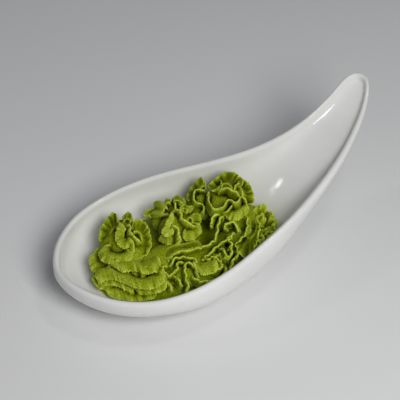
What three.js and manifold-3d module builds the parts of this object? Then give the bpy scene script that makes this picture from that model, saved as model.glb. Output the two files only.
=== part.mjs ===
// A porcelain tasting spoon filled with piped wasabi paste.
//
// The spoon is comma shaped: a round bowl that narrows into a handle, which rises and curves to one side.
// The paste is one soft mass: a mound in the bowl, three rosettes, layered ribs along the front, and
// ruffled ribbons between them, as a star tube leaves them.
//
// Millimetres, +Z up. Lengths along the spoon start at the front of the bowl. At the end the model is
// moved so that its origin is the bottom centre of its box, with the foot on Z = 0.

import * as THREE from 'three';
import { mergeVertices } from 'three/addons/utils/BufferGeometryUtils.js';
import Module from 'manifold-3d';

const wasm = await Module();
wasm.setup();

// ---------------------------------------------------------------- driving dimensions of the spoon

const SPOON_LENGTH = 135;      // along the centreline, front of the bowl to the end of the handle
const LIP_THICKNESS = 2.2;     // at both ends of the centreline
const LIP_INSET = 2.6;         // taken off the breadth for the inside of the wall
const PASTE_GAP = 0.4;         // between the wall's glaze and the paste
const FLOOR_GAP = 0.9;         // between the bowl's floor and the paste

// Eleven stations, evenly spaced by angle round the outline, from the front of the bowl to the handle's end.
// The half width is the breadth times the sine of that angle, which rounds both ends of the outline.
const BREADTH = [27, 34, 37, 35.4, 30.6, 23.3, 17, 13.5, 12.8, 14, 16];
const RIM_HEIGHT = [15, 16, 15.9, 16.4, 19.1, 23.4, 28.1, 32.5, 36.8, 41, 41.8];
const OUTER_DEPTH = [7, 13.2, 14.2, 15.2, 20.4, 21.4, 10.4, 5.4, 6, 5.8, 5.5];
const INNER_DEPTH = [5, 10.4, 10.9, 11.4, 16.6, 17.8, 7.2, 2.4, 2.2, 2, 2];
const HEADING = [0, 0, 0, 0, 0, 4, 15, 27.7, 35.8, 40.5, 42];   // degrees, turning to the side

const BOWL_CENTRE = 52;        // where the rings of the mesh close, along the centreline
const SECTION_POWER = 2.5;     // of the superellipse across the bowl; 2 would be a plain ellipse
const RINGS = 14;              // from the bottom of the bowl to the rim, on each face
const LIP_STEPS = 4;           // across the rounded lip
const SPOKES = 64;             // round the outline
const CAST_TOP = 48;           // height that the inside of the bowl is carried up to, above every rim

// ---------------------------------------------------------------- driving dimensions of the paste

const RIB_EDGE = 1.1;          // thickness of a rib at its free edge
const RIB_ROOT = 2.6;          // thickness of a rib where it grows from the mound
const FAN_THICKNESS = 0.7;     // share of those two for a fan
const FOLD_THICKNESS = 0.7;    // and for a fold
const RIB_STEP = 3;            // length of one step along a rib
const FLAT_ARCH = 0.6;         // a rib that is arched less than this is flat from root to free edge
const LUMP_SLICES = 14;        // of an ellipsoid's mesh, round its upright axis
const LUMP_LAYERS = 8;         // and from its bottom to its top
const RAGGED = 0.35;           // the free edge goes up and down by this much at each step

// The smooth mound under the ribs, as overlapping ellipsoids: centre and radii.
const MOUND = [
  { at: [43, -3, 6], radii: [32, 25, 6] },
  { at: [46, -11, 10], radii: [13, 9, 5.3] },
  { at: [66, -8, 11], radii: [11, 9, 5.5] },
  { at: [69, 0, 13], radii: [8.5, 9, 5] },
  { at: [37, -5, 11], radii: [10, 7, 5] },
  { at: [25, -4, 10], radii: [9, 7, 4.5] },
];

// A rosette has lumps at its heart, given like the mound's, and two sorts of rib that follow their free edge.
// A fan's root lies on the way from the free edge to its centre. A fold's root lies at an offset from it.
// The arch is how high a rib is rounded over between root and free edge, or cupped when it is negative.
const ROSETTES = [
  { // left
    lumps: [
      { at: [26, 4, 14], radii: [8.5, 9, 5.3] },
      { at: [28.5, 8.5, 15], radii: [6, 7, 4.3] },
    ],
    fans: [
      {
        centre: [25, 6.5, 18], pull: 0.7, arch: -0.8,
        edge: [[28, 12.5, 19.5], [28, 17.5, 18.5], [26, 17, 18.5], [23, 14.5, 18.5], [20.5, 12, 18],
         [19, 9, 17.5], [17.5, 7.5, 16]],
      },
      {
        centre: [29, 8.5, 19], pull: 0.6, arch: -0.5,
        edge: [[29, 13.5, 19], [31, 15, 19], [32.5, 15.5, 19], [33, 14, 19], [33, 11, 19.5]],
      },
      {
        centre: [29.5, 2, 18.5], pull: 0.7, arch: -1,
        edge: [[31, 9.5, 20.5], [33.5, 9.5, 20.3], [35.5, 8, 19.5], [36, 5.5, 18.5], [35.5, 2.5, 17.5],
         [34.5, -0.5, 16.5], [32.5, -3, 15.8], [30, -4, 15.3], [27, -4, 15.3]],
      },
      {
        centre: [27.5, 3.5, 19.5], pull: 0.6, arch: 0.4,
        edge: [[27.5, 10, 21.3], [25, 7, 21.4], [23.5, 4.5, 20.8], [22.5, 2, 20.2], [23, -0.5, 19.8],
         [24.5, -2, 19.7], [26, -2, 20], [27, -1, 20.3], [27.5, -2.5, 19.8], [27, -4, 19],
         [25.5, -5, 18]],
      },
      {
        centre: [23.5, 1.5, 17.5], pull: 0.55, arch: 1,
        edge: [[19, 4.5, 17], [17, 3.5, 16.8], [16, 1.5, 16.6], [16, -1.5, 16.6], [17.5, -3.5, 16.8],
         [19.5, -5.5, 17], [22.5, -6.5, 17.2], [25, -6, 17.5], [27, -4, 18.2]],
      },
      {
        centre: [22, 3, 17.5], pull: 0.6, arch: -0.3,
        edge: [[19, 3.5, 17], [20, 3.5, 18], [21, 4, 18.5], [22.5, 4.5, 18.8]],
      },
    ],
    folds: [
      {
        root: [-1, 0.5, -3.5], arch: 0.5,
        edge: [[29.5, 8.5, 21.3], [29.5, 5.5, 21.8], [28.5, 3, 22], [29, 1, 21.5], [30, -0.5, 20.5],
         [31.5, 0, 19.3]],
      },
    ],
  },
  { // middle
    lumps: [
      { at: [46.5, 4.5, 15], radii: [7, 6.5, 6] },
      { at: [46.5, 10, 15], radii: [7.5, 6, 5] },
    ],
    fans: [
      {
        centre: [41, 11, 17], pull: 0.6, arch: -0.5,
        edge: [[38.5, 13, 16.5], [37.5, 14.5, 17], [39, 15, 17.5], [40.5, 15, 18], [41.5, 14, 18.5]],
      },
      {
        centre: [44.5, 7, 21], pull: 0.7, arch: 0.4,
        edge: [[45.5, 15, 19.5], [44.5, 15.5, 19.3], [43.5, 16.5, 19], [42.5, 17, 18.5],
         [42, 15.5, 18.3], [41, 13.5, 18], [39.5, 12.5, 17.3], [39.5, 11.5, 17], [41, 9.5, 17.5],
         [43, 8, 18.5]],
      },
      {
        centre: [45.5, 9.5, 21], pull: 0.6, arch: -0.5,
        edge: [[45.5, 15.5, 19.3], [47, 16.5, 19], [47.5, 16, 19.2], [49, 16, 19.5]],
      },
      {
        centre: [48, 8, 21.5], pull: 0.6, arch: -0.5,
        edge: [[49.5, 17, 19.3], [50.5, 17, 19.3], [51.5, 16, 19.3], [52.5, 14, 19.3], [53, 13, 19],
         [52, 11.5, 19.3]],
      },
      {
        centre: [48, 5, 21.5], pull: 0.7, arch: -0.6,
        edge: [[48.5, 7.5, 22], [50, 8.5, 21.8], [51, 9, 21.5], [51.5, 7.5, 21.2], [53.5, 8, 20.5],
         [53.5, 7, 20], [51.5, 5.5, 19.8]],
      },
      {
        centre: [48, 1, 20.5], pull: 0.7, arch: -0.5,
        edge: [[51, 4, 20.5], [53, 4.5, 20], [54.5, 4, 19.5], [54.5, 3, 19], [54, 1.5, 18.5],
         [53.5, -0.5, 18]],
      },
      {
        centre: [42.5, 0, 21.5], pull: 0.6, arch: 0.4,
        edge: [[45.5, 5.5, 23.8], [44, 4.5, 23.5], [42, 2.5, 23], [40, 1, 22.3], [38.5, -0.5, 21.3],
         [38, -2, 20.8], [39, -3, 20.3], [40.5, -3, 20], [42, -3, 20]],
      },
      {
        centre: [49, 2, 19.5], pull: 0.55, arch: 0.8,
        edge: [[53.5, -1, 18], [52.5, -2.5, 17.3], [50.5, -3.5, 16.8], [48.5, -4.5, 16.5],
         [46.5, -4, 16.5], [45, -3.5, 16.5], [44.5, -2.5, 17]],
      },
      {
        centre: [42.5, 0.5, 18.5], pull: 0.55, arch: 0.6,
        edge: [[37.5, 2, 16.3], [37.5, 1, 15.8], [38.5, -0.5, 15.5], [40, -2.5, 15.5],
         [42, -3.5, 15.7], [43.5, -3.5, 16.2]],
      },
    ],
    folds: [
      {
        root: [0, 0.5, -4], arch: 0,
        edge: [[50, 16.5, 19.5], [48.5, 12.5, 20.8], [47.5, 8.5, 22]],
      },
      {
        root: [-1, 1, -3.5], arch: 0.5,
        edge: [[43, 1, 22.5], [43.5, -0.5, 22], [44, -2, 21.3], [43.5, -4, 20.3], [43.5, -5, 19.3],
         [42, -5, 18.3]],
      },
      {
        root: [-1, 0.5, -4], arch: 0.5,
        edge: [[45.5, 7, 22.8], [47, 6, 23], [47.5, 3.5, 23], [47, 2, 22.5], [48, 0, 22], [49, -1, 21],
         [50.5, -1.5, 20], [52.5, -1.5, 19]],
      },
    ],
  },
  { // right, the tallest
    lumps: [
      { at: [65.5, 6.5, 18], radii: [7, 6.8, 6] },
      { at: [57.5, 10, 17.5], radii: [4.5, 6, 5.2] },
    ],
    fans: [
      {
        centre: [58.5, 8.5, 23.5], pull: 0.65, arch: -0.6,
        edge: [[61, 14, 24], [61, 17.5, 23.2], [59.5, 17.5, 22.8], [57.5, 16.5, 21.8],
         [55.5, 15.5, 21.2], [54, 14, 20.3], [53, 12, 19.7], [53.5, 10, 19.5]],
      },
      {
        centre: [64, 5, 25.5], pull: 0.7, arch: -1.2,
        edge: [[59, 11, 24.3], [60.5, 11, 25], [62.5, 12, 25.3], [64.5, 13, 25.3], [67, 14, 25.3],
         [68.5, 14.5, 25.3], [70.5, 14, 25.3], [72, 12.5, 25.3], [72.5, 10, 25.5],
         [72.5, 7.5, 25.8], [71.5, 4.5, 26]],
      },
      {
        centre: [67, 3.5, 25.3], pull: 0.65, arch: -1.2,
        edge: [[71.5, 9, 26], [72.5, 8, 25.8], [73.5, 7, 25.5], [74, 5, 25], [74, 3, 24.3],
         [73.5, 0.5, 23.3], [72.5, -1, 22.3], [71, -2.5, 21.5]],
      },
      {
        centre: [67.5, 0.5, 22.5], pull: 0.5, arch: 0.8,
        edge: [[61, -0.5, 22], [61, -3, 21.3], [62, -4.5, 20.8], [64, -5.5, 20.7], [66.5, -5, 20.7],
         [68.5, -4, 20.7], [71, -3, 21.3]],
      },
    ],
    folds: [
      {
        root: [0, 1.5, -4], arch: 0.5,
        edge: [[62.5, 5.5, 27], [63.5, 5, 27.4], [65, 4, 27.6], [66, 2.5, 27.5], [67, 1.5, 27.3],
         [68, 0, 26.8]],
      },
      {
        root: [0, 0, -4], arch: 0,
        edge: [[66.5, 3, 27.3], [68.5, 5, 27], [71.5, 7, 26.5]],
      },
      {
        root: [0, 0, -4], arch: 0,
        edge: [[66, 12.5, 25.5], [64.5, 8, 26.3], [63.5, 5.5, 27]],
      },
      {
        root: [0.5, 1.5, -4.5], arch: 0,
        edge: [[59, 9.5, 25.3], [58, 10, 25], [56, 10.5, 24.7], [54.5, 9.5, 24.2], [54, 8, 23.7],
         [54, 6.5, 23.3], [55.5, 5.5, 22.8], [56, 4.5, 22.2], [55.5, 3.5, 21.3], [54.5, 4.5, 20.5]],
      },
      {
        root: [0.5, 1.5, -5], arch: 0,
        edge: [[59.5, 7.5, 26.5], [58, 5, 26.6], [57, 2, 26.2], [57, -0.5, 25.6], [58, -1.5, 25.2],
         [59.5, -2, 25.4], [61.5, -1.5, 26], [63, -0.5, 26.8], [64, -1, 26.7], [64.5, -2, 26.3],
         [66, -2, 26.3], [68, -0.5, 26.3], [69, -1, 25.8], [69.5, -2.5, 24.8]],
      },
      {
        root: [0.5, 1.5, -4], arch: 0,
        edge: [[64, -0.5, 25.5], [63.5, -2, 24.7], [62, -2.5, 23.8], [59.5, -2, 23]],
      },
    ],
  },
];

// The other ribs, in runs that share the offset from the free edge to the root, an arch and a thickness.
const RUNS = [
  { // bands along the front, each overhanging the one below it
    root: [0.5, 5, 0], arch: 0.8, thick: 0.7,
    edges: [
      [[17.5, -3, 16.3], [18.5, -5.5, 16.8], [19.5, -7.5, 16.8], [20.5, -9.5, 16.8],
       [23, -10, 16.8], [25, -11, 16.8], [27, -13, 16.6], [29.5, -13.5, 16.6],
       [31.5, -13.5, 16.6], [33.5, -12.5, 16.6]],
      [[23, -10.5, 15.5], [25, -12, 15.5], [26.5, -13.5, 15.3], [27.5, -14.5, 15]],
      [[30, -13.5, 15.6], [31, -15, 15.4], [32.5, -16.5, 15.3], [33.5, -16.5, 15.4]],
      [[12, -9.5, 13], [13, -8.5, 13.6], [14.5, -8, 14], [16, -8.5, 14.3], [17.5, -9.5, 14.5],
       [19, -11.5, 14.5], [20.5, -13.5, 14.5], [22, -15.5, 14.5], [24, -17, 14.5],
       [26.5, -18.5, 14.5], [28.5, -18.5, 14.6], [31, -18, 14.8], [33.5, -17.5, 15]],
      [[12.5, -9.5, 11], [14, -8.5, 11.8], [15.5, -9, 12.2], [17, -10, 12.4],
       [18.5, -11.5, 12.4], [19.5, -13, 12.2], [21, -15, 11.8], [22.5, -16.5, 11.5]],
      [[22, -15, 12], [23.5, -16.5, 11.8], [25, -17.5, 11.8], [27, -18, 12], [29, -19, 12.4],
       [31.5, -19, 12.8], [33.5, -18.5, 13.3]],
      [[14, -11, 9.8], [15.5, -13, 9.8], [17.5, -14.5, 9.8], [20, -16.5, 10], [23, -18, 10.2],
       [26, -19, 10.5], [29, -20, 11]],
      [[43, -19, 16.3], [44.5, -21, 16.2], [46.5, -21.5, 16.4], [48.5, -22, 16.6],
       [50.5, -22, 16.8]],
    ],
  },
  { // ribs round the front of the bowl
    root: [4, 1, -1], arch: 0.8, thick: 0.8,
    edges: [
      [[15.5, 6.5, 14], [13.5, 4, 13.5], [12.5, 0.5, 13.2], [13, -2.5, 13.3], [15, -3.5, 14],
       [16.5, -3, 15]],
      [[12, -1, 12], [11.5, -4, 11.5], [12, -7, 11], [13, -9.5, 10.6]],
    ],
  },
  { // the flank between the middle rosette and the longest crest
    root: [0, 5, -2.5], arch: -0.5, thick: 1.2,
    edges: [
      [[49.5, -11, 19], [46.5, -10.5, 18.6], [43.5, -10, 18.4], [41.5, -9, 18], [39.5, -9, 17.5],
       [38, -9.5, 17], [36.5, -10.5, 16.6]],
    ],
  },
  { // crests that sweep from the right rosette to the front
    root: [0.3, 2, -4], arch: 0.3, thick: 0.75,
    edges: [
      [[60.5, -3, 23], [59, -3.5, 22.2], [57.5, -5, 21.4], [56.5, -6.5, 20.8], [55.5, -8, 20.3],
       [54, -10, 19.8], [51.5, -11, 19.5], [49.5, -11, 19], [46.5, -10.5, 18.6],
       [43.5, -10, 18.4], [41.5, -9, 18], [39.5, -9, 17.5], [38, -9.5, 17], [36.5, -10.5, 16.6]],
      [[36.5, -12, 16.3], [37.5, -11.5, 17], [38.5, -11, 17.6], [40.5, -11.5, 17.9],
       [42.5, -12.5, 18.1], [44, -13.5, 18], [45, -15, 17.5], [45.5, -16.5, 17]],
      [[62, -9, 20], [60.5, -10, 19.7], [58, -11, 19.3], [55.5, -12, 19], [53.5, -12.5, 18.8],
       [51.5, -13.5, 18.5], [49, -14.5, 18.2], [47, -15, 17.8]],
    ],
  },
  { // ruffles in front of those crests
    root: [0.2, 1.5, -4], arch: 0.3, thick: 0.8,
    edges: [
      [[36, -11, 16.5], [34.5, -11.5, 16], [33.5, -12.5, 15.5], [34, -14, 15.3],
       [35, -15.5, 15.3], [36.5, -15.5, 15.8], [38, -14.5, 16.5], [39, -13, 17.2],
       [40.5, -13, 17.5], [41.5, -13.5, 17.5]],
      [[37.5, -24, 14.5], [38.5, -22.5, 15.3], [39, -20, 16], [39.5, -18, 16.8],
       [40.5, -15.5, 17.3], [42, -14.5, 17.6], [43, -15.5, 17.5], [43.5, -17, 17],
       [43.5, -18.5, 16.5], [43.5, -20, 15.8]],
      [[35, -15.5, 15.3], [36.5, -16.5, 15], [37, -18.5, 14.8], [37.5, -20.5, 14.5]],
      [[34, -16, 14.5], [33.5, -18.5, 14.3], [34, -20.5, 14]],
      [[41.5, -18.5, 15.8], [42, -20, 15.5], [43, -22, 15.3], [45, -23, 15.5], [47, -23.5, 15.8],
       [49, -24, 16], [51, -23.5, 16.5], [52.5, -22, 17], [53.5, -20.5, 17.5]],
      [[46.5, -16, 17.3], [48, -17.5, 17.2], [49, -17.5, 17.5], [51, -16.5, 17.8],
       [53, -15.5, 18], [54.5, -15, 18.3]],
      [[48.5, -19, 17], [49.5, -20.5, 17], [51.5, -20.5, 17.3], [53, -19, 17.6]],
      [[54, -13, 18.8], [55, -14.5, 18.6], [55, -16.5, 18.2], [54, -17.5, 17.8]],
      [[58, -13, 19], [58, -14.5, 18.6], [57, -16.5, 18.2], [55, -18, 17.8]],
      [[59, -15.5, 18.5], [59, -17.5, 18.3], [57.5, -19, 18], [56, -20, 17.7], [54.5, -22, 17.3]],
      [[59.5, -8.5, 19.8], [60, -10.5, 19.3], [58.5, -11.5, 19.2], [58.5, -13.5, 18.9],
       [57, -15, 18.6]],
      [[48, -14.5, 18.2], [49, -16, 18], [51, -16, 18.2], [51.5, -17.5, 17.8], [52.5, -19, 17.5]],
    ],
  },
  { // ribbons that hang from under the right rosette
    root: [1.5, 1.5, -3.5], arch: 0.5, thick: 0.8,
    edges: [
      [[58.5, -2, 24], [57, -2, 22.7], [55.5, -3, 21.3], [55, -4, 19.8]],
      [[58.5, -7, 20.5], [59.5, -6, 21], [61, -6, 21.3], [62.5, -6.5, 21.3], [62.5, -8, 20.8],
       [62.5, -9.5, 20]],
    ],
  },
  { // the low crumbly rope at the far right
    root: [-1.5, 0, -4], arch: 0, thick: 1.3,
    edges: [
      [[74, -1, 19.5], [75.5, 0, 19.4], [76.5, -1, 19.2], [77.5, -0.5, 19], [77.5, -3, 18.8]],
      [[77.5, -3, 19], [78.5, -4.5, 18.6], [77, -6.5, 18.4], [77.5, -8.5, 18.3], [75.5, -11, 18.4]],
      [[75.5, -10.5, 18.6], [75.5, -12.5, 18.4], [73.5, -14, 18.8], [71, -16, 19]],
      [[73.5, -3, 19.4], [74.5, -4, 19], [75, -5.5, 18.6], [76, -5, 18.4]],
      [[72, -9.5, 18.7], [72.5, -11, 18.5], [74, -10.5, 18.4], [73, -12.5, 18.6], [71, -14, 18.8]],
      [[70.5, -11.5, 18.7], [70, -14.5, 18.8], [68, -16, 19], [67.5, -18.5, 19.2]],
    ],
  },
  { // a rib along the far side, behind the rosettes
    root: [0.5, -4.5, -1], arch: 1, thick: 1.3,
    edges: [
      [[47, 19, 12], [56, 18, 14], [64, 16, 16.5], [71, 12.5, 18.5]],
    ],
  },
];

// Fans that are not part of a rosette: the cup at the right end and a small one in front of it.
const CUPS = [
  {
    centre: [69.5, -7, 17.5], pull: 0.6, arch: -0.6,
    edge: [[68, -4.5, 21.8], [67, -7.5, 21], [65.5, -10.5, 20.5], [63.5, -12.5, 20],
     [61.5, -13.5, 19.7], [59.5, -14.5, 19.2], [59, -16, 18.7], [59, -18.5, 18.4],
     [60, -21, 18.3], [62.5, -20.5, 19], [65.5, -18, 19.6], [68, -14.5, 20], [70, -11.5, 20.3],
     [71, -8.5, 20.6], [71, -6.5, 21]],
  },
  {
    centre: [55.5, -12, 16], pull: 0.6, arch: -0.5,
    edge: [[47, -16, 17], [47.5, -17.5, 17], [49, -17.5, 17.3], [49, -19, 16.9], [50, -20.5, 16.9],
     [52, -20, 17.2]],
  },
];

// ---------------------------------------------------------------- the spoon's shape

// Value of a row of stations at t, from 0 at the front of the bowl to 1 at the handle's end.
function atStation(stations, t) {
  const knots = stations.map((value, i) => new THREE.Vector2(i, value));
  return new THREE.SplineCurve(knots).getPoint(t).y;
}

// A face of the spoon's wall: where its outline starts, what its breadth loses, and how deep it is.
const OUTSIDE = { start: 0, inset: 0, depth: OUTER_DEPTH, raise: 0 };
const INSIDE = { start: LIP_THICKNESS, inset: LIP_INSET, depth: INNER_DEPTH, raise: 0 };
const PASTE_SIDE = {
  start: LIP_THICKNESS + PASTE_GAP,
  inset: LIP_INSET + PASTE_GAP,
  depth: INNER_DEPTH,
  raise: FLOOR_GAP,
};

// Station parameter of a face at a distance along the centreline.
function stationOf(face, along) {
  const span = SPOON_LENGTH - 2 * face.start;
  const cosine = THREE.MathUtils.clamp(1 - 2 * (along - face.start) / span, -1, 1);
  return Math.acos(cosine) / Math.PI;
}

function halfWidth(face, along) {
  const t = stationOf(face, along);
  return Math.sin(Math.PI * t) * (atStation(BREADTH, t) - face.inset);
}

function rimHeight(along) {
  return atStation(RIM_HEIGHT, stationOf(OUTSIDE, along));
}

// Height of a face below a point of the bowl, never lower than the flat foot.
function faceHeight(face, along, across) {
  const t = stationOf(face, along);
  const depth = Math.sqrt(Math.sin(Math.PI * t)) * atStation(face.depth, t);
  const side = Math.min(Math.abs(across) / Math.max(halfWidth(face, along), 1e-6), 1);
  const hollow = Math.pow(1 - Math.pow(side, SECTION_POWER), 1 / SECTION_POWER);
  return Math.max(rimHeight(along) - depth * hollow + face.raise * hollow, 0);
}

// Point of a face's outline at an angle, from 0 at the handle's end to a half turn at the front.
function outlinePoint(face, angle) {
  const middle = SPOON_LENGTH / 2;
  const along = middle + (middle - face.start) * Math.cos(angle);
  return [along, Math.sign(Math.sin(angle)) * halfWidth(face, along)];
}

// Point of a face on the ring at a share of the way from the bowl's centre to the outline.
function ringPoint(face, share, angle) {
  const [rimAlong, rimAcross] = outlinePoint(face, angle);
  const along = BOWL_CENTRE + share * (rimAlong - BOWL_CENTRE);
  const across = share * rimAcross;
  const height = share < 1 ? faceHeight(face, along, across) : rimHeight(along);
  return new THREE.Vector3(along, across, height);
}

// Points of the centreline, one for each millimetre, on the curve that the heading gives.
const centreline = [new THREE.Vector2(0, 0)];
for (let along = 1; along <= SPOON_LENGTH; along += 1) {
  const heading = THREE.MathUtils.degToRad(atStation(HEADING, stationOf(OUTSIDE, along - 0.5)));
  const step = new THREE.Vector2(Math.cos(heading), Math.sin(heading));
  centreline.push(centreline[along - 1].clone().add(step));
}

// Carries a point given along, across and up from the straight centreline to the curved one.
function bend(point) {
  const index = THREE.MathUtils.clamp(Math.floor(point.x), 0, SPOON_LENGTH - 1);
  const from = centreline[index];
  const way = centreline[index + 1].clone().sub(from);
  const rest = point.x - index;
  return new THREE.Vector3(
    from.x + way.x * rest - way.y * point.y,
    from.y + way.y * rest + way.x * point.y,
    point.z,
  );
}

// ---------------------------------------------------------------- solids

// A closed geometry as a solid that can be joined and cut.
function toSolid(geometry) {
  const plain = new THREE.BufferGeometry();
  plain.setAttribute('position', geometry.getAttribute('position'));
  plain.setIndex(geometry.getIndex());
  const merged = mergeVertices(plain, 1e-4);
  const index = merged.getIndex().array;
  const kept = [];
  for (let i = 0; i < index.length; i += 3) {
    const [a, b, c] = [index[i], index[i + 1], index[i + 2]];
    if (a !== b && b !== c && c !== a) kept.push(a, b, c);
  }
  const vertProperties = new Float32Array(merged.getAttribute('position').array);
  const triVerts = new Uint32Array(kept);
  const solid = new wasm.Manifold(new wasm.Mesh({ numProp: 3, vertProperties, triVerts }));
  if (solid.volume() < 0) throw new Error('a solid is inside out');
  return solid;
}

function toGeometry(solid) {
  const mesh = solid.getMesh();
  const geometry = new THREE.BufferGeometry();
  geometry.setAttribute('position', new THREE.BufferAttribute(new Float32Array(mesh.vertProperties), 3));
  geometry.setIndex(new THREE.BufferAttribute(new Uint32Array(mesh.triVerts), 1));
  return geometry;
}

// Turns a list of rows round the bowl. Each row is a function from an angle to a point, and the first and
// the last row close on the bowl's centre.
function turned(rows, spokes) {
  const profile = rows.map((row, i) => new THREE.Vector2(i === 0 || i === rows.length - 1 ? 0 : 1, i));
  const geometry = new THREE.LatheGeometry(profile, spokes);
  const position = geometry.getAttribute('position');
  for (let i = 0; i < position.count; i += 1) {
    const spoke = Math.floor(i / rows.length) % spokes;
    const angle = spoke * 2 * Math.PI / spokes;
    const point = bend(rows[i % rows.length](angle));
    position.setXYZ(i, point.x, point.y, point.z);
  }
  return geometry;
}

// Shares of the rings, closer together towards the rim, where the wall is steep.
function ringShares(rings) {
  const shares = [];
  for (let i = 0; i <= rings; i += 1) {
    shares.push(Math.sin(Math.PI / 2 * i / rings));
  }
  return shares;
}

// ---------------------------------------------------------------- the spoon

// Point of the half round lip, from 0 at the outside of the wall to a half turn at the inside.
function lipPoint(turn, angle) {
  const outer = ringPoint(OUTSIDE, 1, angle);
  const inner = ringPoint(INSIDE, 1, angle);
  const middle = outer.clone().lerp(inner, 0.5);
  const reach = outer.clone().sub(middle);
  const point = middle.clone().addScaledVector(reach, Math.cos(turn));
  point.z += reach.length() * Math.sin(turn);
  return point;
}

function makeSpoon() {
  const rows = [];
  for (const share of ringShares(RINGS)) {
    rows.push((angle) => ringPoint(OUTSIDE, share, angle));
  }
  for (let step = 1; step < LIP_STEPS; step += 1) {
    rows.push((angle) => lipPoint(Math.PI * step / LIP_STEPS, angle));
  }
  for (const share of ringShares(RINGS).reverse()) {
    rows.push((angle) => ringPoint(INSIDE, share, angle));
  }
  return toSolid(turned(rows, SPOKES));
}

// The room inside the bowl, clear of the glaze and carried up past the rim.
function makeCast() {
  const rows = [];
  for (const share of ringShares(RINGS - 3)) {
    rows.push((angle) => ringPoint(PASTE_SIDE, share, angle));
  }
  rows.push((angle) => ringPoint(PASTE_SIDE, 1, angle).setZ(CAST_TOP));
  rows.push(() => new THREE.Vector3(BOWL_CENTRE, 0, CAST_TOP));
  return toSolid(turned(rows, SPOKES / 2));
}

// ---------------------------------------------------------------- the paste

// An ellipsoid.
function lump({ at, radii }) {
  const shape = new THREE.SphereGeometry(1, LUMP_SLICES, LUMP_LAYERS);
  shape.rotateX(Math.PI / 2);
  shape.scale(...radii);
  shape.translate(...at);
  return toSolid(shape);
}

// Point of a rib's middle sheet at a share of its height, with the way up the sheet and across it there. The
// free edge goes up and down from one step to the next.
function ribSection(curve, share, step, height, arch, rootOf) {
  const edge = curve.getPoint(share);
  const root = rootOf(edge);
  const tooth = step % 2 === 0 ? RAGGED : -RAGGED;
  const point = root.clone().lerp(edge, height);
  point.z += arch * 4 * height * (1 - height);
  const slope = edge.clone().sub(root);
  slope.z += arch * 4 * (1 - 2 * height);
  slope.normalize();
  const across = curve.getTangent(share).cross(slope).normalize();
  return { point: point.addScaledVector(slope, height === 1 ? tooth : 0), across };
}

// A rib along a smooth curve through its points: a box in steps, with each step's corners carried to the
// cross-section that belongs there.
function ribSolid(points, thick, arch, rootOf) {
  const curve = new THREE.CatmullRomCurve3(points.map((point) => new THREE.Vector3(...point)));
  const steps = Math.max(3, Math.round(curve.getLength() / RIB_STEP));
  const rib = new THREE.BoxGeometry(1, 1, 1, steps, Math.abs(arch) < FLAT_ARCH ? 1 : 2, 1);
  const position = rib.getAttribute('position');
  for (let corner = 0; corner < position.count; corner += 1) {
    const step = Math.round((position.getX(corner) + 0.5) * steps);
    const height = position.getY(corner) + 0.5;
    const { point, across } = ribSection(curve, step / steps, step, height, arch, rootOf);
    const side = position.getZ(corner) > 0 ? 0.5 : -0.5;
    point.addScaledVector(across, side * thick * THREE.MathUtils.lerp(RIB_ROOT, RIB_EDGE, height));
    position.setXYZ(corner, point.x, point.y, point.z);
  }
  return toSolid(rib);
}

function fanSolid({ centre, pull, arch, edge }) {
  const middle = new THREE.Vector3(...centre);
  return ribSolid(edge, FAN_THICKNESS, arch, (point) => point.clone().lerp(middle, pull));
}

function foldSolid({ root, arch, edge }) {
  const offset = new THREE.Vector3(...root);
  return ribSolid(edge, FOLD_THICKNESS, arch, (point) => point.clone().add(offset));
}

function rosetteSolids({ lumps, fans, folds }) {
  return [...lumps.map(lump), ...fans.map(fanSolid), ...folds.map(foldSolid)];
}

function runSolids({ root, arch, thick, edges }) {
  const offset = new THREE.Vector3(...root);
  return edges.map((edge) => ribSolid(edge, thick, arch, (point) => point.clone().add(offset)));
}

// The one body that is left of a solid when its loose scraps are dropped.
function mainBody(solid) {
  const [largest] = solid.decompose().sort((a, b) => b.volume() - a.volume());
  return largest;
}

function makePaste() {
  const pieces = [
    ...MOUND.map(lump),
    ...ROSETTES.flatMap(rosetteSolids),
    ...RUNS.flatMap(runSolids),
    ...CUPS.map(fanSolid),
  ];
  const piped = pieces.reduce((whole, piece) => whole.add(piece));
  return mainBody(piped.intersect(makeCast()));
}

// ---------------------------------------------------------------- the model

const glaze = new THREE.MeshStandardMaterial({ color: 0xe4e4df, roughness: 0.12, metalness: 0 });
const wasabi = new THREE.MeshStandardMaterial({ color: 0x84a01e, roughness: 0.75, metalness: 0 });

// A named mesh of a solid, moved to the model's origin.
function placed(name, solid, material, origin) {
  const geometry = toGeometry(solid).translate(-origin.x, -origin.y, -origin.z);
  const mesh = new THREE.Mesh(toGeometry(mainBody(toSolid(geometry))), material);
  mesh.name = name;
  return mesh;
}

const spoon = makeSpoon();
const box = new THREE.Box3().setFromBufferAttribute(toGeometry(spoon).getAttribute('position'));
const origin = box.getCenter(new THREE.Vector3()).setZ(box.min.z);

const model = new THREE.Group();
model.add(placed('spoon', spoon, glaze, origin));
model.add(placed('wasabi_paste', makePaste(), wasabi, origin));

export default model;
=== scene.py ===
"""A comma-shaped porcelain tasting spoon, filled with wasabi paste that was piped through a star tube."""

import math

import bmesh
import bpy
from mathutils import Euler, Matrix, Vector, noise


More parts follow.
